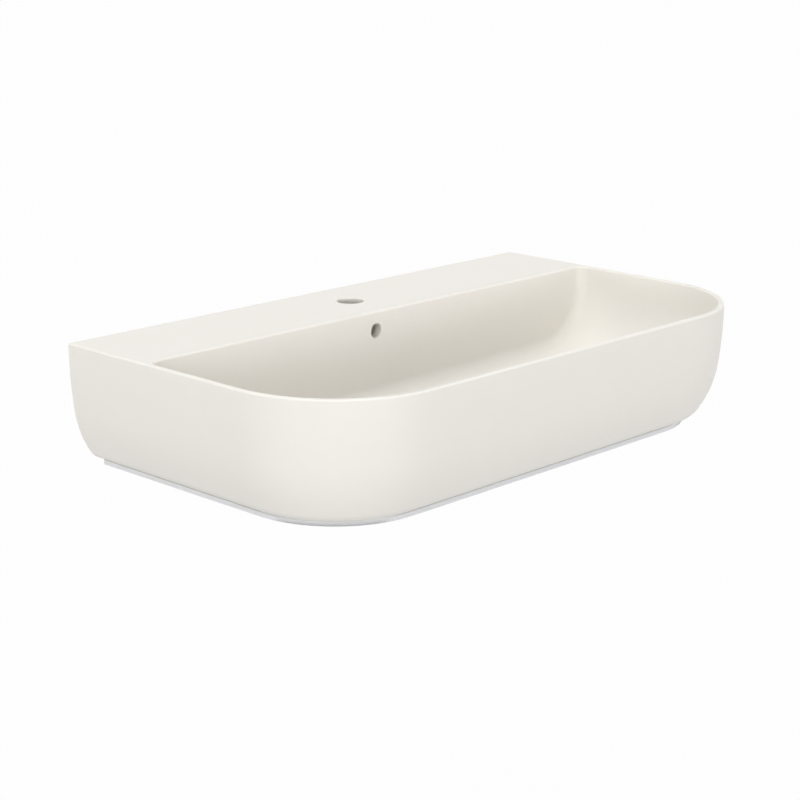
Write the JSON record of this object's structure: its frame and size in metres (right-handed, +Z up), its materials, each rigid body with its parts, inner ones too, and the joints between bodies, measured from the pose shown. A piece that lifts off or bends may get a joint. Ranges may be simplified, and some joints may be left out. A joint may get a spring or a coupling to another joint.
{
  "type": "hand basin",
  "caption": "Wide shallow hand basin with tap deck, round overflow and press-to-close waste, for a wall or a worktop.",
  "frame": {"origin": "on the wall face, midway between the two wall-fixing holes", "axes": "+X right seen from the front, +Y into the wall, +Z up"},
  "size_m": [0.8, 0.45, 0.2028],
  "materials": {
    "ceramic": "satin glaze",
    "waste_brass": "polished chrome plate",
    "gasket_rubber": "plain",
    "seal_rubber": "plain",
    "washer_plastic": "natural",
    "nut_brass": "turned",
    "sleeve_brass": "turned",
    "guide_plastic": "natural",
    "spring_steel": "drawn wire",
    "ring_plastic": "moulded",
    "pin_brass": "turned",
    "core_plastic": "moulded",
    "cap_chrome": "polished",
    "bush_plastic": "moulded",
    "fixing_steel": "zinc plated"
  },
  "bodies": {
    "basin": {"basin_body": "ceramic", "waste_body": "waste_brass", "flange_gasket": "gasket_rubber", "lower_seal": "seal_rubber", "friction_washer": "washer_plastic", "back_nut": "nut_brass", "cartridge_sleeve": "sleeve_brass", "cartridge_locknut": "sleeve_brass", "guide_collar": "guide_plastic", "pin_wiper": "seal_rubber", "cartridge_spring": "spring_steel", "spring_seat": "spring_steel", "fixing_bushes": "bush_plastic", "fixing_washers": "fixing_steel", "fixing_nuts": "fixing_steel"},
    "plug": {"plug_cap": "cap_chrome", "plug_core": "core_plastic", "plug_seal": "seal_rubber", "plug_pin": "pin_brass", "height_locknut": "pin_brass"},
    "ratchet": {"ratchet_ring": "ring_plastic"}
  },
  "joints": [
    {"name": "plug_slide", "type": "slide", "parent": "basin", "child": "plug", "axis": [0, 0, 1], "range_m": [0, 0.009], "deforming": ["cartridge_spring"]},
    {"name": "ratchet_turn", "type": "hinge", "parent": "plug", "child": "ratchet", "pos_m": [0, -0.245, -0.085], "axis": [0, 0, 1], "range_deg": [0, 45]}
  ],
  "couplings": [
    {"joint": "ratchet_turn", "follows": "plug_slide", "rad_per_m": 87}
  ]
}
